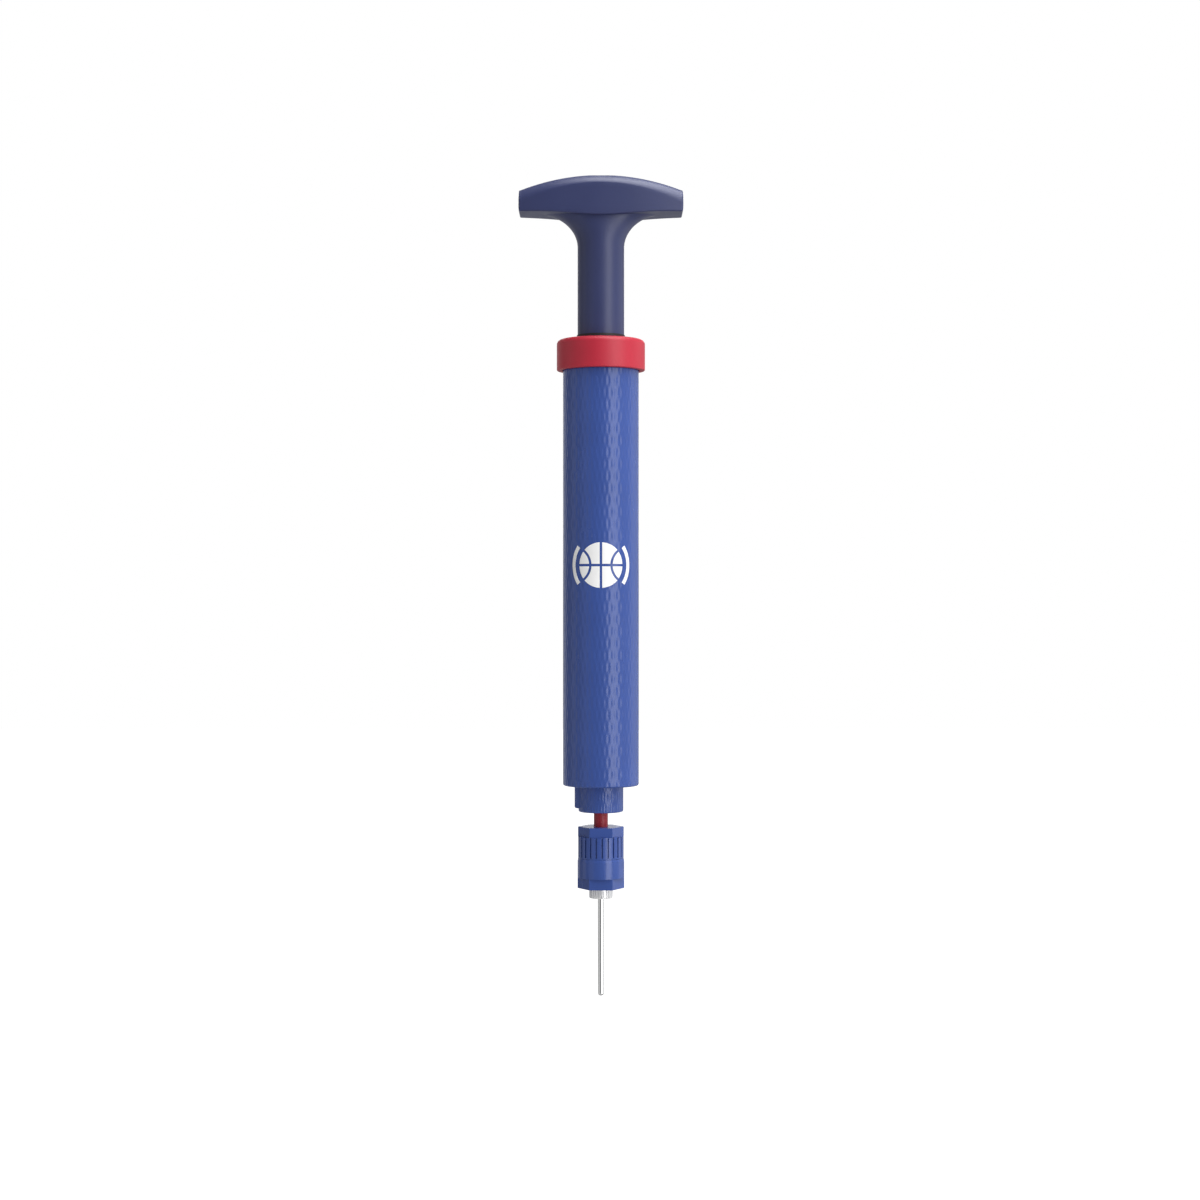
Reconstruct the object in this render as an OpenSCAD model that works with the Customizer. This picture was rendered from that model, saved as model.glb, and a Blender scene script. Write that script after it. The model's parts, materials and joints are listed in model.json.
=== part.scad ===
// Hand pump for sports balls: a double-acting piston pump with a T-handle and a hose
// that slides out of the foot of the barrel and carries the inflation needle.
// Millimetres. +Z runs up the pump's axis from the needle's tip, at the origin, to the
// handle. +X runs along the handle's crossbar, and the view from -Y is the front.

/* [Needle] */
// Outer diameter of the needle's shaft
needle_d = 2.4; // [2:0.1:2.8]
// Diameter of the needle's air passage
needle_bore_d = 1.2; // [0.8:0.1:1.4]
// Length of shaft that goes into a ball
needle_reach = 36.2; // [28:0.2:44]
// Outer diameter of the needle's knurled collar
collar_d = 8.7; // [8.2:0.1:9.6]
// Height of the collar
collar_h = 3.65; // [2.5:0.05:5]
// Number of ridges around the collar
collar_ridges = 28; // [16:2:32]

/* [Needle holder] */
// Outer diameter of the plain band of the needle socket
band_d = 17.26; // [16.8:0.02:18]
// Outer diameter of the fluted part of the hose nut
nut_d = 16.82; // [16:0.02:17]
// Height of the hexagon at the foot of the socket
lower_hex_h = 3.95; // [3:0.05:5]
// Height of the plain band above it
band_h = 6.1; // [5:0.1:8]
// Height of the sloping shoulder above the band
shoulder_h = 1.1; // [0.6:0.1:1.6]
// Height of the fluted part of the nut
flute_h = 7.4; // [6:0.1:9]
// Height of the hexagon on top of the nut
upper_hex_h = 3.6; // [2.5:0.1:5]
// Number of flutes around the nut
flutes = 24; // [16:1:28]
// Width of one flute
flute_w = 0.6; // [0.4:0.05:1]
// Depth of one flute
flute_depth = 0.5; // [0.4:0.05:0.9]

/* [Hose] */
// Outer diameter of the hose
hose_d = 5.2; // [4.8:0.1:5.2]
// Inner diameter of the hose
hose_bore_d = 2.4; // [2.2:0.1:2.6]
// Gap between the needle holder and the neck, with the hose stowed
hose_gap = 5.5; // [3:0.1:12]
// Height of the plug that stops the hose from pulling out
hose_stop_h = 14; // [12:0.5:18]

/* [Barrel] */
// Outer diameter of the barrel
barrel_d = 28; // [27.6:0.1:28.4]
// Inner diameter of the barrel
barrel_bore_d = 24.8; // [24.4:0.1:25]
// Length of barrel that shows below the collar cap
barrel_show = 153.2; // [140:0.2:180]
// Height of the neck below the barrel
neck_h = 9.7; // [9:0.1:12]
// Outer diameter of the neck
neck_d = 16.62; // [16:0.02:17]
// How far the air inlet's boss reaches from the axis
inlet_reach = 9.75; // [9.4:0.01:10]
// Diameter of the air inlet
inlet_d = 1.8; // [1.2:0.1:1.8]

/* [Collar cap] */
// Outer diameter of the collar cap
cap_d = 32.6; // [32:0.1:34]
// Height of the collar cap
cap_h = 11.4; // [11.3:0.1:14]
// Radius of the rounding around the cap's top
cap_round = 1.8; // [1:0.1:3]

/* [Plunger] */
// Outer diameter of the handle's stem, which is the piston rod
rod_d = 17.2; // [16.9:0.05:17.2]
// Inner diameter of the stem
rod_bore_d = 13; // [12.8:0.1:13.4]
// Straight length of stem above the cap, as drawn
stem_show = 34.6; // [33:0.2:60]
// Travel left below the drawn position
push_travel = 32; // [20:0.5:32]

/* [Handle] */
// Length of the crossbar
bar_l = 61; // [50:0.5:80]
// Depth of the crossbar, front to back, at its middle
bar_depth = 18.2; // [17.6:0.1:20]
// Depth of the crossbar at its ends
bar_end_depth = 13.4; // [11:0.1:16]
// Height of the crossbar at its middle
bar_h = 15; // [12:0.1:18]
// How far the top drops from the middle to the ends
bar_drop = 5.2; // [3:0.1:6]
// Radius of the rounding along the crossbar's top edges
bar_round = 3; // [1:0.1:4]
// Radius of the flare between stem and crossbar
flare_r = 10; // [8:0.5:10]
// Diameter of the thumb dish on top
dish_d = 15.4; // [10:0.2:16]
// Depth of the thumb dish
dish_depth = 0.75; // [0.3:0.05:1]

/* [Hidden] */
$fn = 64;

// Overlap that keeps cutting tools from ending exactly on a face
eps = 0.5;
// Gap between two faces that only touch
touch = 0.05;
// Radial clearance of a sliding or turning fit
fit = 0.07;
// Radial clearance between parts that must not rub
free_gap = 0.3;

// Levels up the axis, from the needle's tip
collar_z = needle_reach;
socket_z = collar_z + collar_h;
band_z = socket_z + lower_hex_h;
shoulder_z = band_z + band_h;
nut_z = shoulder_z + shoulder_h;
flute_lead = 0.6;
flute_z = nut_z + flute_lead;
upper_hex_z = flute_z + flute_h;
nut_top_z = upper_hex_z + upper_hex_h;
neck_z = nut_top_z + hose_gap;
barrel_z = neck_z + neck_h;
floor_t = 3.9;
floor_z = barrel_z + floor_t;
cap_z = barrel_z + barrel_show;
cap_top_z = cap_z + cap_h;
flare_z = cap_top_z + stem_show;
bar_z = flare_z + flare_r;
bar_top_z = bar_z + bar_h;

// Inside of the needle holder
needle_shank_r = needle_d / 2 - 0.2;
needle_thread_r = 3.85;
needle_thread_l = 6.5;
thread_pitch = 0.8;
thread_depth = 0.4;
washer_t = 0.7;
web_z = socket_z + needle_thread_l + washer_t + 3 * touch;
web_t = 1;
passage_r = 1.3;
tail_flange_r = 4.6;
tail_flange_t = 1.5;
tail_washer_t = 1;
tail_z = web_z + web_t + tail_washer_t + touch;
hose_end_z = tail_z + tail_flange_t + touch;
barb_r = hose_bore_d / 2 - touch;
barb_l = 7.7;
barb_bore_r = 0.6;
ferrule_r = 3.35;
ferrule_h = 6.7;
ferrule_top_z = hose_end_z + ferrule_h;
spigot_r = 5.6;
spigot_top_z = ferrule_top_z - 0.5;

// Neck, air tube and the intake valve on the barrel's floor
neck_bore_r = 5.45;
neck_floor_t = 2.5;
guide_flange_t = 2;
guide_z = neck_z + neck_floor_t + touch;
guide_nose_r = 3.1;
tube_r = 5.2;
tube_bore_r = 4.2;
tube_z = guide_z + guide_flange_t + touch;
seat_r = 6.15;
seat_h = 1;
gasket_t = 0.7;
tube_flange_r = 7.6;
tube_flange_t = 1.3;
tube_flange_z = floor_z + seat_h + gasket_t;
disc_r = 11;
disc_t = 0.8;
inlet_boss_r = 3;
inlet_x = -7.9;

// Piston, from its lowest face
flange_t = 2;
piston_r = barrel_bore_d / 2 - free_gap;
groove_r = 9.2;
groove_h = 3.2;
cup_r = 10.4;
cup_h = 7;
piston_h = 2 * flange_t + groove_h + cup_h;
piston_z = tube_flange_z + tube_flange_t + 0.8 + push_travel;
ring_cord_r = 1.15;
gland_z = piston_z + 4.2;
gland_r = 7.1;
tube_seal_cord_r = 0.9;
rod_end_z = piston_z + 8.25;
snap_z = rod_end_z + 3;
port_z = piston_z + piston_h + 3;
tube_top_z = cap_top_z - 1.8;

// Barrel's mouth: bush, seals, wiper and thread
mouth_z = cap_top_z - 3.8;
bush_l = 9;
bush_z = mouth_z - bush_l;
bush_flange_t = 1.2;
bush_top_z = mouth_z + bush_flange_t;
bush_seal_cord_r = 0.9;
rod_seal_cord_r = 1;
wiper_z = bush_top_z + touch;
wiper_r = 10.4;
wiper_h = 1.3;
wiper_lip_h = 3.0;
mouth_root_r = barrel_d / 2 - 0.35;
mouth_thread_r = barrel_d / 2 + 0.65;
mouth_thread_pitch = 2;
mouth_thread_h = 0.9;

// Plug at the hose's upper end
hose_stop_z = tube_top_z - 13 - hose_stop_h;
hose_stop_r = tube_bore_r - 0.1;
hose_pocket_l = 8;
hose_top_z = hose_stop_z + hose_pocket_l;
stop_ring_cord_r = 0.65;
stop_ring_r = tube_bore_r - 0.03 - stop_ring_cord_r;
stop_ring_z = hose_top_z + 2.35;

// A ring or tube, standing on z
module tube(z, r_out, r_in, h) {
    translate([0, 0, z])
        difference() {
            cylinder(r = r_out, h = h);
            translate([0, 0, -eps]) cylinder(r = r_in, h = h + 2 * eps);
        }
}

// A plain cylinder standing on z
module rod(z, r, h) {
    translate([0, 0, z]) cylinder(r = r, h = h);
}

// A sealing ring of round cord, centred on z
module o_ring(z, r_mid, r_cord) {
    translate([0, 0, z]) rotate_extrude() translate([r_mid, 0]) circle(r = r_cord);
}

// A cylinder with its upper or lower outer edge rounded
module rounded_rod(z, r, h, top = 0, bottom = 0) {
    translate([0, 0, z]) rotate_extrude() difference() {
        square([r, h]);
        if (top > 0) translate([r - top, h - top]) edge_waste(top);
        if (bottom > 0) translate([r - bottom, bottom]) mirror([0, 1]) edge_waste(bottom);
    }
}

// What rounding by radius r removes from a square corner
module edge_waste(r) {
    difference() {
        square(r + eps);
        circle(r = r);
    }
}

// Annular ridges that stand for a thread: rings of square section, from r_in to r_out
module thread_rings(z, r_out, r_in, pitch, ring_h, count) {
    for (i = [0 : count - 1]) tube(z + i * pitch, r_out, r_in, ring_h);
}

// The shaft, closed and rounded at the tip, with an air hole on each side, and the thinner
// shank that is fixed in the collar
module needle_tube() {
    tip_round = needle_d / 2 - 0.1;
    shank_l = collar_h + needle_thread_l - 1;
    tip_wall = 2.2;
    hole_z = 3.6;
    color("silver") difference() {
        union() {
            rounded_rod(0, needle_d / 2, collar_z, bottom = tip_round);
            rod(collar_z - eps, needle_shank_r, shank_l + eps);
        }
        rod(tip_wall, needle_bore_d / 2, collar_z + shank_l);
        translate([-needle_d, 0, hole_z]) rotate([0, 90, 0]) cylinder(r = 0.45, h = 2 * needle_d);
    }
}

// The needle's base: a knurled collar and the thread that screws into the socket
module needle_collar() {
    ridge_w = 0.42;
    ridge_depth = 0.35;
    collar_r = collar_d / 2;
    rings = floor(needle_thread_l / thread_pitch) - 1;
    color("silver") difference() {
        union() {
            difference() {
                rounded_rod(collar_z, collar_r, collar_h - touch, top = 0.3, bottom = 0.4);
                for (i = [0 : collar_ridges - 1]) rotate([0, 0, i * 360 / collar_ridges])
                    translate([collar_r - ridge_depth, -ridge_w / 2, collar_z - eps])
                        cube([1, ridge_w, collar_h + 2 * eps]);
            }
            rod(socket_z - 2 * touch, needle_thread_r - thread_depth, needle_thread_l);
            thread_rings(socket_z + 0.5, needle_thread_r, 2, thread_pitch, 0.45, rings);
        }
        rod(collar_z - eps, needle_shank_r, collar_h + needle_thread_l + 2 * eps);
    }
}

// The rubber washer that the needle's thread screws down on
module needle_washer() {
    color("dimgray") tube(web_z - washer_t - touch, needle_thread_r - touch, 1.4, washer_t);
}

// The socket that the needle screws into, with the spigot that the nut screws onto
module needle_socket() {
    band_r = band_d / 2;
    color("royalblue") difference() {
        union() {
            intersection() {
                rounded_rod(socket_z, band_r, lower_hex_h + eps, bottom = 0.2);
                translate([0, 0, socket_z]) cylinder(r = band_r + 0.02, h = lower_hex_h + eps, $fn = 6);
            }
            rod(band_z, band_r, band_h);
            translate([0, 0, shoulder_z])
                cylinder(r1 = band_r, r2 = nut_d / 2, h = shoulder_h);
            rod(nut_z - eps, spigot_r, spigot_top_z - nut_z + eps);
        }
        rod(socket_z - eps, needle_thread_r + touch, web_z - socket_z + eps);
        rod(web_z - eps, passage_r, web_t + 2 * eps);
        rod(web_z + web_t, tail_flange_r + touch, spigot_top_z - web_z);
    }
}

// The rubber washer under the hose tail
module tail_washer() {
    color("dimgray") tube(web_z + web_t, tail_flange_r, passage_r, tail_washer_t);
}

// The brass fitting in the hose's lower end
module hose_tail() {
    color("goldenrod") difference() {
        union() {
            rod(tail_z, tail_flange_r, tail_flange_t);
            rod(tail_z + tail_flange_t - eps, barb_r, barb_l + eps);
        }
        rod(tail_z - eps, barb_bore_r, tail_flange_t + barb_l + 2 * eps);
    }
}

// The sleeve crimped over the hose's lower end
module hose_ferrule() {
    color("goldenrod") tube(hose_end_z, ferrule_r, hose_d / 2, ferrule_h);
}

// The nut that clamps the hose: a fluted grip with a hexagon on top
module hose_nut() {
    nut_r = nut_d / 2;
    hex_r = nut_r + 0.04;
    first_flute = -90 + 3;
    hex_chamfer = 0.12;
    shoulder = ferrule_top_z + touch;
    color("royalblue") difference() {
        union() {
            rod(nut_z + touch, nut_r, flute_lead + flute_h - touch);
            intersection() {
                translate([0, 0, upper_hex_z]) cylinder(r = hex_r, h = upper_hex_h, $fn = 6);
                union() {
                    rod(upper_hex_z, hex_r, upper_hex_h - hex_chamfer);
                    translate([0, 0, nut_top_z - hex_chamfer])
                        cylinder(r1 = hex_r, r2 = hex_r - 2 * hex_chamfer, h = hex_chamfer);
                }
            }
        }
        for (i = [0 : flutes - 1]) rotate([0, 0, first_flute + i * 360 / flutes])
            translate([nut_r - flute_depth, -flute_w / 2, flute_z]) cube([2, flute_w, flute_h + 0.2]);
        rod(nut_z - eps, spigot_r + touch, shoulder - nut_z + eps);
        rod(shoulder - eps, hose_d / 2 + 0.1, nut_top_z - shoulder + 2 * eps);
    }
}

// The hose, straight while it is stowed inside the air tube
module hose() {
    color("firebrick") tube(hose_end_z, hose_d / 2, hose_bore_d / 2, hose_top_z - hose_end_z);
}

// The plug on the hose's upper end, which slides in the air tube
module hose_stop() {
    color("ivory") difference() {
        union() {
            difference() {
                rounded_rod(hose_stop_z, hose_stop_r, hose_stop_h, top = 0.5, bottom = 0.3);
                rod(hose_stop_z - eps, hose_d / 2, hose_pocket_l + eps);
            }
            rod(hose_stop_z + 0.5, barb_r, hose_pocket_l);
        }
        rod(hose_stop_z - eps, barb_bore_r, hose_stop_h + 2 * eps);
        tube(stop_ring_z - stop_ring_cord_r - 0.1, hose_stop_r + 1,
             stop_ring_r - stop_ring_cord_r - 0.02, 2 * stop_ring_cord_r + 0.2);
    }
}

// The sealing ring between the hose's plug and the air tube
module hose_stop_ring() {
    color("dimgray") o_ring(stop_ring_z, stop_ring_r, stop_ring_cord_r);
}

// The barrel, its floor and the neck below it, as one moulding
module barrel() {
    boss_x = -(inlet_reach - inlet_boss_r);
    ring_count = 3;
    color("royalblue") difference() {
        union() {
            rounded_rod(barrel_z, barrel_d / 2, cap_z - barrel_z, bottom = 0.7);
            rounded_rod(cap_z - eps, mouth_root_r, mouth_z - cap_z + eps, top = 0.3);
            rounded_rod(neck_z, neck_d / 2, neck_h + 1, bottom = 0.6);
            translate([boss_x, 0, 0])
                rounded_rod(neck_z + 1.3, inlet_boss_r, neck_h, bottom = 0.6);
            thread_rings(cap_z + 2.5, mouth_thread_r, mouth_root_r - 0.5, mouth_thread_pitch,
                         mouth_thread_h, ring_count);
        }
        difference() {
            rod(floor_z, barrel_bore_d / 2, mouth_z - floor_z + eps);
            rod(floor_z - eps, seat_r, seat_h + eps);
        }
        rod(neck_z + neck_floor_t, neck_bore_r, floor_z - neck_z);
        rod(neck_z - eps, guide_nose_r + 0.1, neck_floor_t + 2 * eps);
        translate([inlet_x, 0, neck_z]) cylinder(r = inlet_d / 2, h = floor_z - neck_z + eps);
    }
}

// The bush in the neck that guides the hose and catches its plug
module hose_guide() {
    color("darkslateblue") difference() {
        union() {
            rod(guide_z, neck_bore_r - 0.03, guide_flange_t);
            rod(neck_z + 0.15, guide_nose_r, guide_z - neck_z);
        }
        rod(neck_z - eps, hose_d / 2 + fit, neck_floor_t + guide_flange_t + 2 * eps);
    }
}

// The fixed tube that stands on the floor: the hose stows in it and air leaves through it
module air_tube() {
    spigot_l = tube_flange_z - tube_z;
    color("gainsboro") difference() {
        union() {
            rod(tube_z, neck_bore_r - 0.03, spigot_l);
            rod(tube_flange_z, tube_flange_r, tube_flange_t);
            rounded_rod(tube_flange_z, tube_r, tube_top_z - tube_flange_z, top = 0.4);
        }
        rod(tube_z - eps, tube_bore_r, tube_top_z - tube_z + 2 * eps);
    }
}

// The gasket under the air tube's flange
module base_gasket() {
    color("dimgray") tube(floor_z + seat_h, seat_r - touch, neck_bore_r, gasket_t);
}

// The intake valve: a loose rubber disc that covers the inlet and lifts on the pull stroke
module intake_disc() {
    color("dimgray") tube(floor_z + touch, disc_r, seat_r + free_gap, disc_t);
}

// The collar cap that screws onto the barrel's mouth
module collar_cap() {
    cavity_r = mouth_thread_r + 0.1;
    skirt_gap = 0.3;
    ring_z = cap_z + 2.5 + mouth_thread_pitch / 2 + mouth_thread_h / 2 - 0.4;
    color("crimson") difference() {
        rounded_rod(cap_z, cap_d / 2, cap_h, top = cap_round, bottom = 0.4);
        rod(cap_z - eps, barrel_d / 2 + skirt_gap, cap_h - 3 + eps);
        difference() {
            rod(cap_z + 1.5, cavity_r, mouth_z - cap_z - 1.5);
            thread_rings(ring_z, cavity_r + 1, barrel_d / 2 + skirt_gap, mouth_thread_pitch, 0.8, 2);
        }
        rod(mouth_z - 1, barrel_d / 2, bush_flange_t + 1 + touch);
        rod(wiper_z - 1, wiper_r + 0.1, wiper_h + 1);
        rod(wiper_z, rod_d / 2 + 0.42, cap_top_z - wiper_z + eps);
    }
}

// The bush that guides the stem, with a groove for each of its two sealing rings
module rod_bush() {
    groove_bottom = barrel_bore_d / 2 - 2 * bush_seal_cord_r - 0.05;
    groove_w = 2 * bush_seal_cord_r + 0.2;
    color("whitesmoke") difference() {
        union() {
            rod(bush_z, barrel_bore_d / 2 - touch, bush_l + eps);
            rod(mouth_z, barrel_d / 2 - 0.1, bush_flange_t);
        }
        tube(bush_z + 3, barrel_bore_d / 2 + 1, groove_bottom, groove_w);
        rod(bush_z - eps, rod_d / 2 + fit, bush_l + bush_flange_t + 2 * eps);
        rod(bush_top_z - 2 * rod_seal_cord_r, rod_d / 2 + 2 * rod_seal_cord_r + 0.1,
            2 * rod_seal_cord_r + eps);
    }
}

// The sealing ring between bush and barrel
module bush_seal() {
    color("dimgray") o_ring(bush_z + 3.1 + bush_seal_cord_r,
                            barrel_bore_d / 2 - 0.02 - bush_seal_cord_r, bush_seal_cord_r);
}

// The sealing ring between bush and stem
module rod_seal() {
    color("dimgray") o_ring(bush_top_z - rod_seal_cord_r,
                            rod_d / 2 + 0.05 + rod_seal_cord_r, rod_seal_cord_r);
}

// The wiper under the cap, whose thin lip shows around the stem
module rod_wiper() {
    r = rod_d / 2 + fit;
    lip_z = wiper_z + wiper_h - touch;
    color("black") rotate_extrude() polygon([
        [r, wiper_z], [wiper_r, wiper_z], [wiper_r, lip_z], [r + 0.26, lip_z],
        [r + 0.2, lip_z + wiper_lip_h], [r, lip_z + wiper_lip_h]]);
}

// Outline of the crossbar seen from above: two shallow arcs, closed by straight ends
module bar_plan() {
    half = bar_l / 2;
    bow = (bar_depth - bar_end_depth) / 2;
    r = (half * half + bow * bow) / (2 * bow);
    intersection() {
        translate([0, r - bar_depth / 2]) circle(r = r, $fn = 256);
        translate([0, bar_depth / 2 - r]) circle(r = r, $fn = 256);
        square([bar_l, 2 * bar_depth], center = true);
    }
}

// The arched upper part of the crossbar, with rounded long edges, swept about the Y axis
module bar_arch() {
    half = bar_l / 2;
    r = (half * half + bar_drop * bar_drop) / (2 * bar_drop);
    sweep = 25;
    translate([0, 0, bar_top_z - r]) rotate([90, 0, 0]) rotate([0, 0, 90 - sweep])
        rotate_extrude(angle = 2 * sweep) difference() {
            translate([r - 30, -bar_depth / 2]) square([30, bar_depth]);
            for (side = [-1, 1]) scale([1, side])
                translate([r - bar_round, bar_depth / 2 - bar_round]) edge_waste(bar_round);
        }
}

// The crossbar: arched above, crowned below, bowed front and back, domed at its ends
module crossbar() {
    crown_r = 30;
    dome_r = 60;
    dish_r = (dish_d * dish_d / 4 + dish_depth * dish_depth) / (2 * dish_depth);
    difference() {
        intersection() {
            translate([0, 0, bar_z - eps]) linear_extrude(bar_h + 1) bar_plan();
            bar_arch();
            translate([-bar_l, 0, bar_z + crown_r]) rotate([0, 90, 0])
                cylinder(r = crown_r, h = 2 * bar_l, $fn = 128);
            translate([dome_r - bar_l / 2, 0, bar_z + bar_h / 2 - 1]) sphere(r = dome_r, $fn = 128);
            translate([bar_l / 2 - dome_r, 0, bar_z + bar_h / 2 - 1]) sphere(r = dome_r, $fn = 128);
        }
        translate([0, 0, bar_top_z - dish_depth + dish_r]) sphere(r = dish_r, $fn = 128);
    }
}

// The flare that carries the stem into the crossbar's underside
module flare() {
    top_h = flare_r + 1.5;
    intersection() {
        translate([0, 0, flare_z]) rotate_extrude() difference() {
            square([rod_d / 2 + flare_r, top_h]);
            translate([rod_d / 2 + flare_r, 0]) circle(r = flare_r);
        }
        translate([-bar_l / 2, -rod_d / 2, flare_z]) cube([bar_l, rod_d, top_h]);
    }
}

// Handle and piston rod, as one moulding: crossbar, flare and the long hollow stem
module handle() {
    bore_top_z = bar_z + 4;
    snap_depth = 0.45;
    color("darkslateblue") difference() {
        union() {
            rod(rod_end_z, rod_d / 2, bar_z + 2 - rod_end_z);
            flare();
            crossbar();
        }
        rod(rod_end_z - eps, rod_bore_d / 2, bore_top_z - rod_end_z + eps);
        tube(snap_z, rod_d / 2 + 1, rod_d / 2 - snap_depth, 1.2);
        for (a = [45 : 90 : 315]) rotate([0, 0, a]) translate([0, 0, port_z])
            rotate([0, 90, 0]) cylinder(r = 1.1, h = rod_d);
    }
}

// The piston: two flanges with the ring groove between them, and the cup for the stem
module piston_head() {
    notch_w = 3;
    notches = 6;
    upper_z = piston_z + flange_t + groove_h;
    socket_r = rod_d / 2 + 0.05;
    socket_floor = rod_end_z - touch;
    color("whitesmoke") difference() {
        union() {
            rod(piston_z, piston_r, flange_t);
            rod(piston_z, groove_r, piston_h - 1);
            rod(upper_z, piston_r, flange_t);
            rod(upper_z, cup_r, flange_t + cup_h);
        }
        rod(piston_z - eps, tube_r + free_gap, piston_h);
        rod(gland_z, gland_r, rod_end_z - gland_z);
        difference() {
            rod(socket_floor, socket_r, piston_h);
            tube(snap_z + 0.1, socket_r + 1, socket_r - 0.4, 1);
        }
        for (i = [0 : notches - 1]) rotate([0, 0, i * 360 / notches])
            translate([cup_r, -notch_w / 2, upper_z - eps]) cube([5, notch_w, flange_t + 2 * eps]);
    }
}

// The piston's ring: it floats in its groove and lets air up past it on the push stroke
module piston_ring() {
    color("dimgray") o_ring(piston_z + flange_t + ring_cord_r + 0.03,
                            barrel_bore_d / 2 - touch - ring_cord_r, ring_cord_r);
}

// The sealing ring between piston and air tube
module tube_seal() {
    color("dimgray") o_ring(gland_z + tube_seal_cord_r + 0.03,
                            tube_r + 0.03 + tube_seal_cord_r, tube_seal_cord_r);
}

// The ring between the stem's end and the sealing ring, which holds the seal down
module gland_ring() {
    bottom = gland_z + 2 * tube_seal_cord_r + 0.08;
    color("lightgray") tube(bottom, gland_r - touch, tube_r + free_gap, rod_end_z - touch - bottom);
}

needle_tube();
needle_collar();
needle_washer();
needle_socket();
tail_washer();
hose_tail();
hose_ferrule();
hose_nut();
hose();
hose_stop();
hose_stop_ring();
barrel();
hose_guide();
air_tube();
base_gasket();
intake_disc();
collar_cap();
rod_bush();
bush_seal();
rod_seal();
rod_wiper();
handle();
piston_head();
piston_ring();
tube_seal();
gland_ring();
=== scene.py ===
"""Looks of a hand pump for sports balls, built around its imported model.

The crossbar, flare and stem are one smooth moulding that stands for the plain handle, and a
generic ball mark is printed on the barrel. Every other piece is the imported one, with a
procedural material. The pump's own lengths are millimetres, and each new mesh is scaled to
metres when it is made. The camera, the lights and the floor are placed in metres.
"""

import json
import math

import bmesh
import bpy
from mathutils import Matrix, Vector


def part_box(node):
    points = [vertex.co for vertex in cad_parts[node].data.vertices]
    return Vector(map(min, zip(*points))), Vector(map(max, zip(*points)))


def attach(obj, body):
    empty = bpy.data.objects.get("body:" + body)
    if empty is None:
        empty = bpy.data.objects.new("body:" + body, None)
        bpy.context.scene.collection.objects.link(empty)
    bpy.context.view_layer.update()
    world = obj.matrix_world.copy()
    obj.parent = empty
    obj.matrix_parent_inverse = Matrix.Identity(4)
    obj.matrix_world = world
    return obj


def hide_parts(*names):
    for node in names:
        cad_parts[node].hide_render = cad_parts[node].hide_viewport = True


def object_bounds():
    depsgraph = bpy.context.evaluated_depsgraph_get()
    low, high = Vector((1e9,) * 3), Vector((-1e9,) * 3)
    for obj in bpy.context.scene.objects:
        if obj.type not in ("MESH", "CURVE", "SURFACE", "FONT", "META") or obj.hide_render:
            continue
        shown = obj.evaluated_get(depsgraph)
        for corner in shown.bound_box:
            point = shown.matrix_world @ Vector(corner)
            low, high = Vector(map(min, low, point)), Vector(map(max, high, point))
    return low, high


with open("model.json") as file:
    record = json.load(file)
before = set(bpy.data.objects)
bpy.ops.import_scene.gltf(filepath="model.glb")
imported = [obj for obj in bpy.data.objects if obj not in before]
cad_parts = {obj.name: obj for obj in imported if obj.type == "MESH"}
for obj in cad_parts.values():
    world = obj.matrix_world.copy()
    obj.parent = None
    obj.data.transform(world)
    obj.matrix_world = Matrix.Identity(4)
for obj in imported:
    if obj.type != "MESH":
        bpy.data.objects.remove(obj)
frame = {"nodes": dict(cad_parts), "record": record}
cad_low, cad_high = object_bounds()
scene = bpy.context.scene
nodes = frame["nodes"]
MM = 0.001
SHARP_DEG = 32


# ---------------------------------------------------------------- mesh helpers

def new_piece(name, verts, faces):
    """A mesh object from points in millimetres."""
    mesh = bpy.data.meshes.new(name)
    mesh.from_pydata([Vector(v) * MM for v in verts], [], faces)
    mesh.validate()
    piece = bpy.data.objects.new(name, mesh)
    scene.collection.objects.link(piece)
    smooth(piece)
    return piece


def smooth(piece, sharp_deg=SHARP_DEG):
    """Smooth shading, broken at edges sharper than an angle."""
    piece.data.shade_smooth()
    piece.data.set_sharp_from_angle(angle=math.radians(sharp_deg))


def turns(count):
    """Angles that divide a full turn."""
    return [2 * math.pi * i / count for i in range(count)]


def bridge(rings, count):
    """Quads between rings of count points each."""
    faces = []
    for k in range(rings - 1):
        for i in range(count):
            j = (i + 1) % count
            faces.append((k * count + i, k * count + j, (k + 1) * count + j, (k + 1) * count + i))
    return faces


def loft(name, rings):
    """A closed solid through rings of points, with a flat face at each end."""
    count = len(rings[0])
    verts = [p for ring in rings for p in ring]
    faces = bridge(len(rings), count)
    faces.append(tuple(reversed(range(count))))
    faces.append(tuple(range((len(rings) - 1) * count, len(rings) * count)))
    return new_piece(name, verts, faces)


def ring_points(r, z, count):
    """A circle around the Z axis."""
    return [(r * math.cos(a), r * math.sin(a), z) for a in turns(count)]


def apply_modifiers(piece):
    """Replaces a piece's mesh by what its modifiers make of it."""
    depsgraph = bpy.context.evaluated_depsgraph_get()
    made = bpy.data.meshes.new_from_object(piece.evaluated_get(depsgraph))
    piece.modifiers.clear()
    piece.data = made


def combine(piece, other, operation):
    """An exact boolean of two pieces. The second is used up."""
    boolean = piece.modifiers.new("boolean", "BOOLEAN")
    boolean.operation = operation
    boolean.solver = "EXACT"
    boolean.object = other
    apply_modifiers(piece)
    bpy.data.objects.remove(other)


# ---------------------------------------------------------------- materials

BLUE = (0.041, 0.086, 0.325)
NAVY = (0.029, 0.038, 0.118)
RED = (0.49, 0.017, 0.041)
HOSE_RED = (0.36, 0.013, 0.028)
NATURAL_WHITE = (0.74, 0.74, 0.70)
INK_WHITE = (0.97, 0.97, 0.97)
SEAL_BLACK = (0.018, 0.018, 0.020)
NICKEL = (0.90, 0.905, 0.91)
SATIN_NICKEL = (0.98, 0.98, 0.98)
BRASS = (0.78, 0.57, 0.24)

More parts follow.
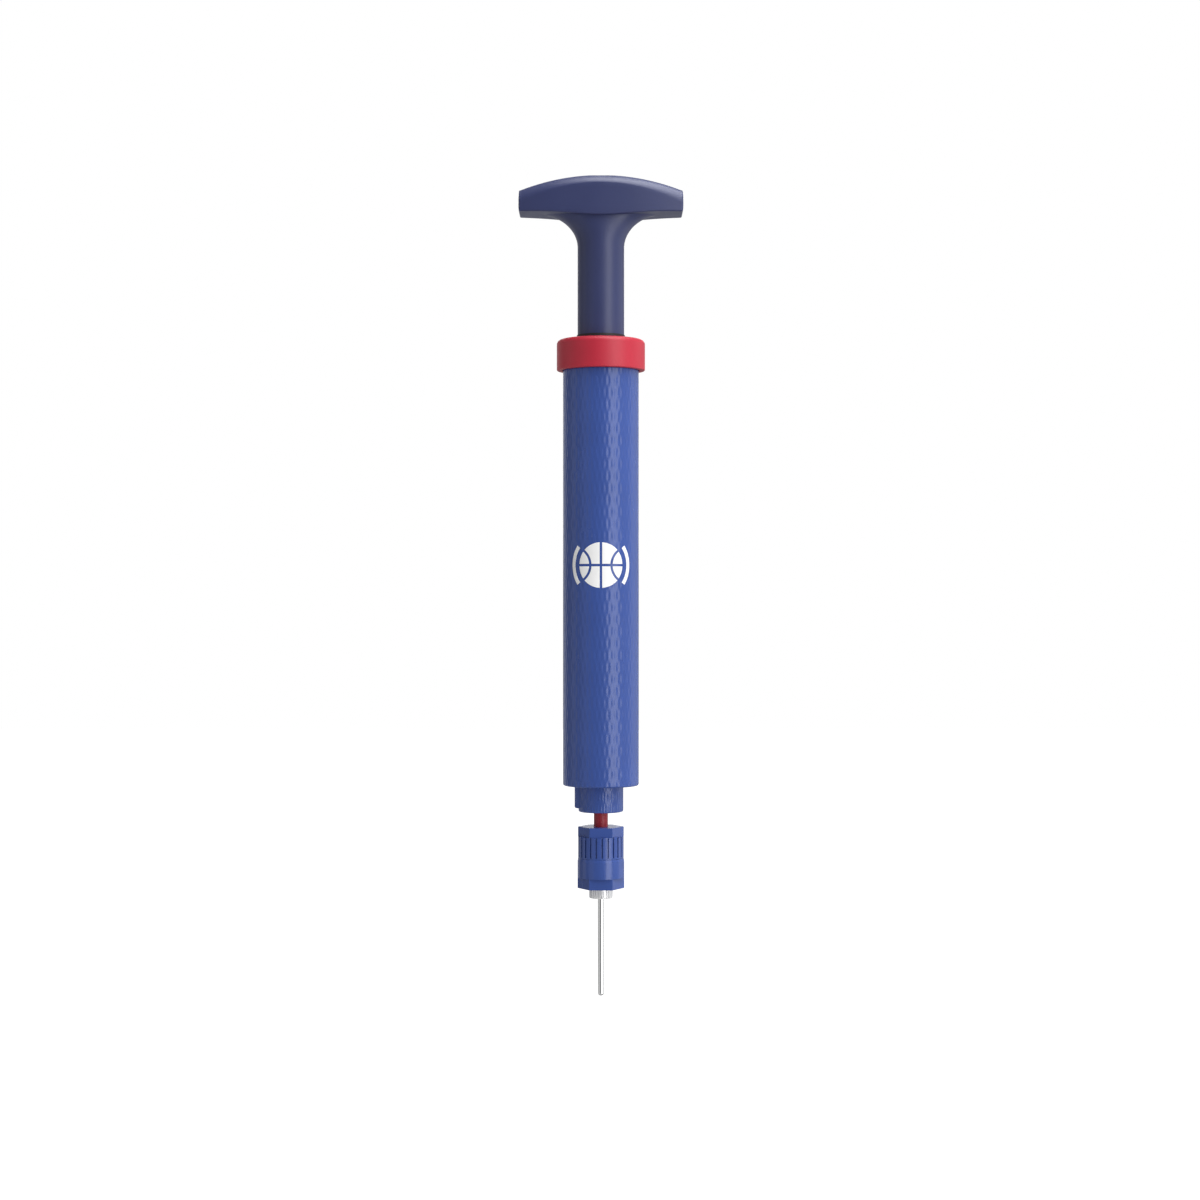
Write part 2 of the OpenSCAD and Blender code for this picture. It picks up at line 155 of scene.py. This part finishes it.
# Radius of the rounding that shading gives to moulded edges
SOFT_EDGE_R = 0.18
# How far from its middle value a noise reaches before it is cut off
NOISE_SPREAD = 0.2
# The barrel's relief: lozenges around it, distance between their rows, and depth
LOZENGES_AROUND = 48
LOZENGE_PITCH = 4.35
LOZENGE_DEPTH = 0.04


class Shader:
    """A Principled material and short calls that add nodes to it."""

    def __init__(self, name, colour, roughness, **sockets):
        self.material = bpy.data.materials.new(name)
        self.material.use_nodes = True
        self.tree = self.material.node_tree
        self.out = self.tree.nodes["Principled BSDF"]
        self.colour = colour
        self.out.inputs["Base Color"].default_value = (*colour, 1)
        self.out.inputs["Roughness"].default_value = roughness
        for socket, value in sockets.items():
            self.out.inputs[socket.replace("_", " ")].default_value = value
        self.place = self.node("ShaderNodeTexCoord").outputs["Object"]

    def node(self, kind, **values):
        """A node with properties and input values set."""
        made = self.tree.nodes.new(kind)
        for key, value in values.items():
            if hasattr(made, key):
                setattr(made, key, value)
            else:
                made.inputs[key.replace("_", " ")].default_value = value
        return made

    def link(self, source, target):
        """Joins an output to an input."""
        self.tree.links.new(source, target)

    def noise(self, size_mm, detail, stretch=(1, 1, 1)):
        """Noise with grains of about size_mm, stretched along the axes."""
        mapping = self.node("ShaderNodeMapping")
        mapping.inputs["Scale"].default_value = [1 / s for s in stretch]
        self.link(self.place, mapping.inputs["Vector"])
        made = self.node("ShaderNodeTexNoise", Scale=1 / (size_mm * MM), Detail=detail)
        self.link(mapping.outputs["Vector"], made.inputs["Vector"])
        return made.outputs["Fac"]

    def math(self, operation, a, b=None):
        """A Math node on sockets or numbers."""
        made = self.tree.nodes.new("ShaderNodeMath")
        made.operation = operation
        for socket, value in zip(made.inputs, (a, b)):
            if isinstance(value, (int, float)):
                socket.default_value = value
            elif value is not None:
                self.link(value, socket)
        return made.outputs[0]

    def spread(self, factor, low, high):
        """Maps a noise's middle range onto low to high."""
        made = self.node("ShaderNodeMapRange", From_Min=0.5 - NOISE_SPREAD,
                         From_Max=0.5 + NOISE_SPREAD, To_Min=low, To_Max=high)
        self.link(factor, made.inputs["Value"])
        return made.outputs["Result"]

    def vary_colour(self, factor, amount):
        """Lightens and darkens the colour by a share, following a factor."""
        mix = self.node("ShaderNodeMix", data_type="RGBA")
        mix.inputs[6].default_value = (*[c * (1 - amount) for c in self.colour], 1)
        mix.inputs[7].default_value = (*[min(1, c * (1 + amount)) for c in self.colour], 1)
        self.link(factor, mix.inputs[0])
        self.link(mix.outputs[2], self.out.inputs["Base Color"])

    def vary_roughness(self, factor, low, high):
        """Lets the roughness follow a noise between two values."""
        self.link(self.spread(factor, low, high), self.out.inputs["Roughness"])

    def soft_edges(self, radius_mm):
        """Shades sharp edges as if they were rounded, as moulding leaves them."""
        made = self.node("ShaderNodeBevel", samples=6, Radius=radius_mm * MM)
        self.link(made.outputs["Normal"], self.out.inputs["Normal"])

    def bump(self, height, depth_mm):
        """Adds relief of depth_mm on top of what the material already has."""
        made = self.node("ShaderNodeBump", Distance=depth_mm * MM)
        self.link(height, made.inputs["Height"])
        before = self.out.inputs["Normal"].links
        if before:
            self.link(before[0].from_socket, made.inputs["Normal"])
        self.link(made.outputs["Normal"], self.out.inputs["Normal"])


def moulded(name, colour, roughness):
    """Moulded plastic: faint clouding, uneven gloss, a fine grain and slight flow marks."""
    made = Shader(name, colour, roughness)
    made.soft_edges(SOFT_EDGE_R)
    made.vary_colour(made.spread(made.noise(14, 3), 0, 1), 0.045)
    made.vary_roughness(made.noise(5, 4, (1, 1, 3)), roughness - 0.025, roughness + 0.035)
    made.bump(made.noise(0.35, 3), 0.004)
    made.bump(made.noise(7, 1, (1, 1, 4)), 0.006)
    return made


def lozenge_relief(shader):
    """Two crossing sets of steep helical waves around the Z axis, which meet in lozenges."""
    split = shader.node("ShaderNodeSeparateXYZ")
    shader.link(shader.place, split.inputs[0])
    turn = shader.math("ARCTAN2", split.outputs["Y"], split.outputs["X"])
    across = shader.math("MULTIPLY", turn, LOZENGES_AROUND)
    along = shader.math("MULTIPLY", split.outputs["Z"], math.pi / (LOZENGE_PITCH * MM))
    wave = shader.math("MULTIPLY", shader.math("COSINE", across), shader.math("COSINE", along))
    shader.bump(wave, LOZENGE_DEPTH)


def barrel_plastic():
    """The blue plastic with the barrel's relief."""
    made = moulded("blue_barrel_moulding", BLUE, 0.25)
    lozenge_relief(made)
    return made


def chrome():
    """Bright nickel plating with faint lengthwise polishing lines."""
    made = Shader("needle_plating", NICKEL, 0.10, Metallic=1.0)
    made.vary_colour(made.spread(made.noise(3, 2, (1, 1, 12)), 0, 1), 0.03)
    made.vary_roughness(made.noise(0.8, 3, (1, 1, 30)), 0.07, 0.15)
    made.bump(made.noise(0.25, 2, (1, 1, 40)), 0.001)
    return made


def knurled_plating():
    """Satin nickel plating of the knurled collar."""
    made = Shader("collar_plating", SATIN_NICKEL, 0.4, Metallic=0.5)
    made.vary_colour(made.spread(made.noise(1.5, 2), 0, 1), 0.03)
    made.vary_roughness(made.noise(0.5, 2), 0.34, 0.46)
    made.bump(made.noise(0.12, 2), 0.001)
    return made


def brass():
    """Turned brass with fine tool rings."""
    made = Shader("turned_brass", BRASS, 0.28, Metallic=1.0)
    made.vary_colour(made.spread(made.noise(2.5, 3), 0, 1), 0.08)
    made.vary_roughness(made.noise(0.2, 2, (40, 40, 1)), 0.2, 0.38)
    made.bump(made.noise(0.15, 2, (60, 60, 1)), 0.002)
    return made


def rubber(name, colour, roughness):
    """Moulded rubber: mottled, dull and finely grained."""
    made = Shader(name, colour, roughness, Specular_IOR_Level=0.4)
    made.vary_colour(made.spread(made.noise(4, 4), 0, 1), 0.12)
    made.vary_roughness(made.noise(1.5, 3), roughness - 0.06, roughness + 0.08)
    made.bump(made.noise(0.2, 3), 0.006)
    return made


def hose_rubber():
    """Extruded red hose with faint lengthwise draw lines."""
    made = Shader("red_hose_vinyl", HOSE_RED, 0.44)
    made.vary_colour(made.spread(made.noise(6, 3, (1, 1, 5)), 0, 1), 0.08)
    made.vary_roughness(made.noise(1.2, 3, (1, 1, 20)), 0.40, 0.54)
    made.bump(made.noise(0.4, 2, (1, 1, 50)), 0.006)
    return made


blue_barrel = barrel_plastic().material
navy = moulded("navy_moulding", NAVY, 0.42).material
ink = moulded("white_ink", INK_WHITE, 0.45).material
collar_plating = knurled_plating().material

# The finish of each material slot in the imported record
FINISH = {
    "needle_metal": chrome().material,
    "blue_plastic": moulded("blue_moulding", BLUE, 0.25).material,
    "navy_plastic": navy,
    "red_plastic": moulded("red_moulding", RED, 0.46).material,
    "red_hose": hose_rubber().material,
    "black_rubber": rubber("black_seal_rubber", SEAL_BLACK, 0.55).material,
    "white_plastic": moulded("natural_moulding", NATURAL_WHITE, 0.45).material,
    "brass_fitting": brass().material,
}


def paint(piece, material):
    """Gives a piece one material."""
    piece.data.materials.clear()
    piece.data.materials.append(material)


def finish_nodes():
    """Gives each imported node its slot's finish, and the barrel and the collar their own."""
    for part in frame["record"]["subparts"]:
        paint(nodes[part["node"]], FINISH[part["material_slot"]])
    paint(nodes["barrel"], blue_barrel)
    paint(nodes["needle_collar"], collar_plating)


# ---------------------------------------------------------------- handle

# The stem, with a snap groove and air ports near its lower end
STEM_R = 8.6
STEM_SIDES = 144
STEM_CHAMFER = 0.3
STEM_BORE_R = 6.5
BORE_SIDES = 96
# How far the bore runs up into the crossbar
BORE_SINK = 4.0
GROOVE_FOOT = 3.0
GROOVE_W = 1.2
GROOVE_DEPTH = 0.45
GROOVE_WALL = 0.01
PORT_R = 1.1
PORT_SIDES = 24
PORT_COUNT = 4
PORT_H = 9.0
FIRST_PORT_DEG = 45
# How far a port's cutting tool starts inside the bore, and how far tools run out of the stem
PORT_INTO_BORE = 1.5
TOOL_OVERRUN = 1.0
# Plain rings that divide the stem's long wall: above its foot, and below the flare
STEM_RING_H = 20.0
STEM_RING_DROPS = (60, 25, 4)

# The crossbar. A value with AT_END or END holds at its ends, and its partner in the middle.
BAR_H = 15.0
BAR_HALF_DEPTH = 10.2
BAR_END_HALF_DEPTH = 7.3
BAR_ARCH_R = 88.0
# How far the arch's crown, before it is dished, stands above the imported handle
BAR_CROWN = 0.33
# The rounding along the top edges is a superellipse's quarter with this height, depth and power
BAR_TOP_ROUND_H = 3.3
BAR_TOP_ROUND_H_AT_END = 5.0
BAR_TOP_ROUND_DEPTH = 4.0
BAR_TOP_ROUND_POWER = 1.35
BAR_TOP_ROUND_POWER_AT_END = 1.8
BAR_FOOT_ROUND = 0.5
BAR_END_ROUND = 0.6
BAR_END_DOME = 0.35
# Where the rings of the end's dome lie, as shares of its rim
END_DOME_SHARES = (0.85, 0.65, 0.45, 0.25, 0.1)
# The underside: how much higher its ends are, and how far from the middle it rises
FOOT_RISE = 1.6
FOOT_BULGE = 15.0
# The thumb dish in the crossbar's top, and the softness of its rim
DISH_R = 7.7
DISH_DEPTH = 0.75
DISH_RIM = 0.12
# Steps along the outline, around its roundings, and along the crossbar
FLAT_STEPS = 12
SIDE_STEPS = 8
FOOT_ROUND_STEPS = 5
TOP_ROUND_STEPS = 15
END_ROUND_STEPS = 6
DISH_STATIONS = 18
DISH_MARGIN = 1.3
OUTER_STATIONS = 24

# The flare between stem and crossbar, and how its last ring is sunk into the crossbar
FLARE_REACH = 14.8
FLARE_H = 12.5
FLARE_STEPS = 32
FLARE_SINK = 1.0
FLARE_SINK_SCALE = 0.97


def soft_min(a, b, width):
    """The smaller of two heights, with the corner between them rounded."""
    h = max(width - abs(a - b), 0) / width
    return min(a, b) - h * h * width / 4


def foot_z(low_z, x):
    """Height of the crossbar's underside, which hangs a little lower in the middle."""
    return low_z + FOOT_RISE * (1 - math.exp(-(x / FOOT_BULGE) ** 2))


def top_z(apex_z, x):
    """Height of the crossbar's arched top."""
    return apex_z - BAR_ARCH_R + math.sqrt(BAR_ARCH_R ** 2 - x * x)


def dished_z(x, y, z, apex_z):
    """A height on the crossbar's top, lowered where the thumb dish, part of a sphere, cuts it."""
    sphere_r = (DISH_R ** 2 + DISH_DEPTH ** 2) / (2 * DISH_DEPTH)
    bowl = apex_z - DISH_DEPTH + sphere_r - math.sqrt(max(sphere_r ** 2 - x * x - y * y, 0))
    return soft_min(z, bowl, DISH_RIM)


def bar_section(x, low_z, apex_z, half_l):
    """The crossbar's outline at x, seen along X, as (y, z) points."""
    share = (x / half_l) ** 2

    def towards_end(middle, end):
        return middle + (end - middle) * share

    half = towards_end(BAR_HALF_DEPTH, BAR_END_HALF_DEPTH)
    round_h = towards_end(BAR_TOP_ROUND_H, BAR_TOP_ROUND_H_AT_END)
    power = 2 / towards_end(BAR_TOP_ROUND_POWER, BAR_TOP_ROUND_POWER_AT_END)
    top, foot = top_z(apex_z, x), foot_z(low_z, x)
    flat = half - BAR_FOOT_ROUND
    side_foot = foot + BAR_FOOT_ROUND
    side_top = top - round_h
    crest = half - BAR_TOP_ROUND_DEPTH

    right = [(flat * t / FLAT_STEPS, foot) for t in range(FLAT_STEPS + 1)]
    for k in range(1, FOOT_ROUND_STEPS):
        a = math.radians(90 * k / FOOT_ROUND_STEPS)
        right.append((flat + BAR_FOOT_ROUND * math.sin(a), side_foot - BAR_FOOT_ROUND * math.cos(a)))
    for t in range(SIDE_STEPS + 1):
        right.append((half, side_foot + (side_top - side_foot) * t / SIDE_STEPS))
    for k in range(1, TOP_ROUND_STEPS + 1):
        a = math.radians(90 * k / TOP_ROUND_STEPS)
        right.append((crest + BAR_TOP_ROUND_DEPTH * math.cos(a) ** power,
                      side_top + round_h * math.sin(a) ** power))
    right += [(crest * (1 - t / FLAT_STEPS), top) for t in range(1, FLAT_STEPS + 1)]
    right = [(y, dished_z(x, y, z, apex_z) if z > side_top else z) for y, z in right]
    left = [(-y, z) for y, z in reversed(right[1:-1])]
    return right + left


def crossbar(low_z, apex_z, half_l):
    """The crossbar, lofted along X, with rounded and slightly domed ends."""
    body_l = half_l - BAR_END_DOME - BAR_END_ROUND
    dish_l = DISH_R + DISH_MARGIN
    stations = [k * dish_l / DISH_STATIONS for k in range(DISH_STATIONS + 1)]
    stations += [dish_l + (body_l - dish_l) * k / OUTER_STATIONS for k in range(1, OUTER_STATIONS + 1)]
    stations = [-x for x in reversed(stations[1:])] + stations

    def ring(x, scale, out_x):
        """The outline at x, drawn in by a scale and set at out_x."""
        outline = bar_section(x, low_z, apex_z, half_l)
        mid_z = (foot_z(low_z, x) + top_z(apex_z, x)) / 2
        return [(out_x, y * scale, mid_z + (z - mid_z) * scale) for y, z in outline]

    end = []
    for k in range(1, END_ROUND_STEPS + 1):
        a = math.radians(90 * k / END_ROUND_STEPS)
        inset = BAR_END_ROUND * (1 - math.cos(a))
        end.append((1 - inset / BAR_END_HALF_DEPTH, body_l + BAR_END_ROUND * math.sin(a)))
    rim = end[-1][0]
    for share in END_DOME_SHARES:
        end.append((rim * share, half_l - BAR_END_DOME * share ** 2))
    rings = [ring(-body_l, scale, -x) for scale, x in reversed(end)]
    rings += [ring(x, 1, x) for x in stations]
    rings += [ring(body_l, scale, x) for scale, x in end]
    return loft("crossbar", rings)


def flare_ring(extra_w, z):
    """One outline of the flare: the stem's circle, stretched along X."""
    return [(x * (1 + extra_w / STEM_R), y, z) for x, y, z in ring_points(STEM_R, z, STEM_SIDES)]


def stem_and_flare(low_z, bottom_z):
    """The stem with its snap groove, widening along X into a flare under the crossbar."""
    groove_top = GROOVE_FOOT + GROOVE_W
    profile = (
        (STEM_R - STEM_CHAMFER, 0),
        (STEM_R, STEM_CHAMFER),
        (STEM_R, GROOVE_FOOT),
        (STEM_R - GROOVE_DEPTH, GROOVE_FOOT + GROOVE_WALL),
        (STEM_R - GROOVE_DEPTH, groove_top - GROOVE_WALL),
        (STEM_R, groove_top),
        (STEM_R, STEM_RING_H),
    )
    flare_z = low_z + FOOT_RISE - FLARE_H
    rings = [ring_points(r, bottom_z + h, STEM_SIDES) for r, h in profile]
    rings += [ring_points(STEM_R, flare_z - drop, STEM_SIDES) for drop in STEM_RING_DROPS]
    for k in range(FLARE_STEPS + 1):
        a = math.radians(90 * k / FLARE_STEPS)
        rings.append(flare_ring(FLARE_REACH * (1 - math.cos(a)), flare_z + FLARE_H * math.sin(a)))
    rings.append([(FLARE_SINK_SCALE * x, FLARE_SINK_SCALE * y, z + FLARE_SINK) for x, y, z in rings[-1]])
    return loft("stem", rings)


def port(turn_deg, z):
    """A round hole from the stem's bore out through its wall, as a solid to cut with."""
    a = math.radians(turn_deg)
    side = Vector((-math.sin(a), math.cos(a), 0))
    up = Vector((0, 0, 1))
    rings = []
    for reach in (STEM_BORE_R - PORT_INTO_BORE, STEM_R + TOOL_OVERRUN):
        centre = Vector((reach * math.cos(a), reach * math.sin(a), z))
        rings.append([tuple(centre + side * PORT_R * math.cos(t) + up * PORT_R * math.sin(t))
                      for t in turns(PORT_SIDES)])
    return loft("port", rings)


def bore(bottom_z, bore_top_z):
    """What is drilled out of the handle: the stem's bore and its air ports."""
    ends = (bottom_z - TOOL_OVERRUN, bore_top_z)
    tool = loft("bore", [ring_points(STEM_BORE_R, z, BORE_SIDES) for z in ends])
    for k in range(PORT_COUNT):
        combine(tool, port(FIRST_PORT_DEG + 360 / PORT_COUNT * k, bottom_z + PORT_H), "UNION")
    return tool


def handle_moulding():
    """Crossbar, flare and hollow stem as one piece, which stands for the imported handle."""
    low, high = (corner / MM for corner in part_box("handle"))
    apex_z = high.z + BAR_CROWN
    low_z = apex_z - BAR_H
    piece = crossbar(low_z, apex_z, high.x)
    piece.name = "handle_moulding"
    combine(piece, stem_and_flare(low_z, low.z), "UNION")
    combine(piece, bore(low.z, low_z + BORE_SINK), "DIFFERENCE")
    smooth(piece)
    paint(piece, navy)
    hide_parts("handle")
    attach(piece, "handle")


# ---------------------------------------------------------------- printed mark

BARREL_R = 14.0
MARK_Z = 159.0
# The ball: its radius, the width of its seams, and the arcs of its two side seams
BALL_R = 8.3
BALL_SIDES = 120
SEAM_W = 0.9
SIDE_SEAM_R = 6.6
SIDE_SEAM_X = 10.5
SIDE_SEAM_SIDES = 96
# The two curved lines beside it
LINE_R = 10.9
LINE_W = 1.5
LINE_HALF_DEG = 38
LINE_STEPS = 32
# The mark's plate before it is bent, and where its two faces lie against the barrel's wall
PLATE_THICKNESS = 0.4
INK_PROUD = 0.02
INK_SUNK = 0.15
BEND_STEP = 0.5
MARK_SHARP_DEG = 40
# Half length and half depth of the bars that cut the straight seams. The rings that cut the
# side seams have the same depth.
CUT_REACH = 12.0
CUT_DEPTH = 1.0


def cut_bar(half_w, half_h):
    """A straight bar that cuts a seam."""
    rings = [[(-half_w, -CUT_DEPTH, z), (half_w, -CUT_DEPTH, z),
              (half_w, CUT_DEPTH, z), (-half_w, CUT_DEPTH, z)] for z in (-half_h, half_h)]
    return loft("cut", rings)


def disc(name, x, r, count, thickness):
    """A round plate that faces the front."""
    rings = [[(x + r * math.cos(a), y, r * math.sin(a)) for a in turns(count)]
             for y in (thickness / 2, -thickness / 2)]
    return loft(name, rings)


def cut_ring(x):
    """A ring that cuts a side seam. The disc that hollows it is deeper than the ring."""
    ring = disc("cut", x, SIDE_SEAM_R + SEAM_W / 2, SIDE_SEAM_SIDES, 2 * CUT_DEPTH)
    combine(ring, disc("cut", x, SIDE_SEAM_R - SEAM_W / 2, SIDE_SEAM_SIDES, 3 * CUT_DEPTH), "DIFFERENCE")
    return ring


def curved_line(centre_deg):
    """One of the flat curved bands beside the ball."""
    rings = []
    for y in (PLATE_THICKNESS / 2, -PLATE_THICKNESS / 2):
        outline = []
        for edge, order in ((LINE_R + LINE_W / 2, range(LINE_STEPS + 1)),
                            (LINE_R - LINE_W / 2, range(LINE_STEPS, -1, -1))):
            for k in order:
                a = math.radians(centre_deg + LINE_HALF_DEG * (2 * k / LINE_STEPS - 1))
                outline.append((edge * math.cos(a), y, edge * math.sin(a)))
        rings.append(outline)
    return loft("line", rings)


def slice_upright(piece, reach, step):
    """Cuts a mesh along upright lines, so that it can bend around the barrel."""
    work = bmesh.new()
    work.from_mesh(piece.data)
    count = int(reach / step)
    for k in range(-count, count + 1):
        bmesh.ops.bisect_plane(work, geom=work.verts[:] + work.edges[:] + work.faces[:],
                               plane_co=(k * step * MM, 0, 0), plane_no=(1, 0, 0))
    work.to_mesh(piece.data)
    work.free()


def bend_onto_barrel(piece):
    """Wraps the flat plate around the barrel's front, with its back face inside the wall."""
    for vertex in piece.data.vertices:
        u, depth, v = vertex.co / MM
        r = BARREL_R + (INK_PROUD if depth < 0 else -INK_SUNK)
        a = u / BARREL_R
        vertex.co = Vector((r * math.sin(a), -r * math.cos(a), MARK_Z + v)) * MM


def barrel_mark():
    """A generic ball between two curved lines, printed in white around the barrel's front."""
    piece = disc("barrel_mark", 0, BALL_R, BALL_SIDES, PLATE_THICKNESS)
    combine(piece, cut_bar(SEAM_W / 2, CUT_REACH), "DIFFERENCE")
    combine(piece, cut_bar(CUT_REACH, SEAM_W / 2), "DIFFERENCE")
    for side in (-1, 1):
        combine(piece, cut_ring(side * SIDE_SEAM_X), "DIFFERENCE")
    for centre_deg in (0, 180):
        combine(piece, curved_line(centre_deg), "UNION")
    slice_upright(piece, LINE_R + LINE_W, BEND_STEP)
    bend_onto_barrel(piece)
    smooth(piece, MARK_SHARP_DEG)
    paint(piece, ink)
    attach(piece, "barrel")


# ---------------------------------------------------------------- stage, in metres

CAMERA_DISTANCE = 0.828
CAMERA_HEIGHT = 0.1463
CAMERA_SIDE = -0.00033
FIELD_OF_VIEW_DEG = 30
SENSOR_MM = 36

# Strength of the unseen room and of its paler floor, which fades in between two steepnesses of
# a downward ray, given as its Z
ROOM_GLOW = 0.22
FLOOR_GLOW = 0.45
FLOOR_GLOW_STARTS = -0.12
FLOOR_GLOW_FULL = -0.35

# Soft boxes: degrees round from the front towards +X, degrees up, width, height, radiance
LIGHT_DISTANCE = 1.0
SOFT_BOXES = {
    "key": (40, 0, 0.54, 1.15, 2.9),
    "side": (90, 0, 0.9, 1.15, 0.4),
    "right": (115, 0, 0.54, 1.15, 0.6),
    "back_right": (145, 0, 0.54, 1.15, 0.3),
    "back_left": (-145, 0, 0.54, 1.15, 0.36),
    "left": (-90, 0, 0.4, 1.15, 0.5),
    "front_left": (-50, 0, 0.54, 1.15, 0.3),
    "upper": (45, 48, 0.6, 0.6, 4.0),
    "overhead": (90, 78, 0.7, 0.7, 6.2),
    "back": (180, 24, 0.6, 0.36, 2.6),
    "backdrop_glow": (180, 7, 0.6, 0.2, 0.9),
}

FLOOR_HALF_SIZE = 6.0
FLOOR_Z = -0.25


def camera():
    """Looks level along +Y at the pump's front."""
    data = bpy.data.cameras.new("camera")
    data.sensor_width = SENSOR_MM
    data.lens = SENSOR_MM / 2 / math.tan(math.radians(FIELD_OF_VIEW_DEG / 2))
    view = bpy.data.objects.new("camera", data)
    view.location = (CAMERA_SIDE, -CAMERA_DISTANCE, CAMERA_HEIGHT)
    view.rotation_euler = (math.radians(90), 0, 0)
    scene.collection.objects.link(view)
    scene.camera = view


def soft_box(name, azimuth_deg, elevation_deg, width, height, radiance):
    """An area light that faces the pump's middle, with its radiance set for any size."""
    data = bpy.data.lights.new(name, "AREA")
    data.shape = "RECTANGLE"
    data.size, data.size_y = width, height
    data.energy = radiance * math.pi * width * height
    light = bpy.data.objects.new(name, data)
    light.visible_camera = False
    a, e = math.radians(azimuth_deg), math.radians(elevation_deg)
    away = Vector((math.sin(a) * math.cos(e), -math.cos(a) * math.cos(e), math.sin(e)))
    middle = (cad_low + cad_high) / 2
    light.location = middle + away * LIGHT_DISTANCE
    light.rotation_euler = away.to_track_quat("Z", "Y").to_euler()
    scene.collection.objects.link(light)


def room():
    """White for the camera, and a dim room with a paler floor for everything else."""
    world = bpy.data.worlds.new("studio")
    scene.world = world
    world.use_nodes = True
    tree = world.node_tree
    dim = tree.nodes["Background"]
    dim.inputs["Color"].default_value = (1, 1, 1, 1)
    direction = tree.nodes.new("ShaderNodeSeparateXYZ")
    tree.links.new(tree.nodes.new("ShaderNodeTexCoord").outputs["Generated"], direction.inputs[0])
    floor_glow = tree.nodes.new("ShaderNodeMapRange")
    floor_glow.inputs["From Min"].default_value = FLOOR_GLOW_STARTS
    floor_glow.inputs["From Max"].default_value = FLOOR_GLOW_FULL
    floor_glow.inputs["To Min"].default_value = ROOM_GLOW
    floor_glow.inputs["To Max"].default_value = FLOOR_GLOW
    tree.links.new(direction.outputs["Z"], floor_glow.inputs["Value"])
    tree.links.new(floor_glow.outputs["Result"], dim.inputs["Strength"])
    white = tree.nodes.new("ShaderNodeBackground")
    white.inputs["Color"].default_value = (1, 1, 1, 1)
    mix = tree.nodes.new("ShaderNodeMixShader")
    tree.links.new(tree.nodes.new("ShaderNodeLightPath").outputs["Is Camera Ray"], mix.inputs[0])
    tree.links.new(dim.outputs[0], mix.inputs[1])
    tree.links.new(white.outputs[0], mix.inputs[2])
    tree.links.new(mix.outputs[0], tree.nodes["World Output"].inputs["Surface"])


def studio():
    """The room, its soft boxes, and a plain view transform."""
    room()
    for name, settings in SOFT_BOXES.items():
        soft_box(name, *settings)
    scene.view_settings.view_transform = "Standard"


def floor():
    """A plain white floor below the pulled-out hose, which the camera alone sees."""
    half = FLOOR_HALF_SIZE
    corners = [(-half, -half), (half, -half), (half, half), (-half, half)]
    mesh = bpy.data.meshes.new("floor")
    mesh.from_pydata([(x, y, FLOOR_Z) for x, y in corners], [], [(0, 1, 2, 3)])
    ground = bpy.data.objects.new("floor", mesh)
    scene.collection.objects.link(ground)
    surface = bpy.data.materials.new("floor_white")
    surface.use_nodes = True
    shader = surface.node_tree.nodes["Principled BSDF"]
    shader.inputs["Base Color"].default_value = (0.9, 0.9, 0.9, 1)
    shader.inputs["Emission Color"].default_value = (1, 1, 1, 1)
    shader.inputs["Emission Strength"].default_value = 1.0
    mesh.materials.append(surface)
    ground.visible_diffuse = False
    ground.visible_glossy = False
    ground.visible_shadow = False


camera()
studio()
floor()
finish_nodes()
handle_moulding()
barrel_mark()
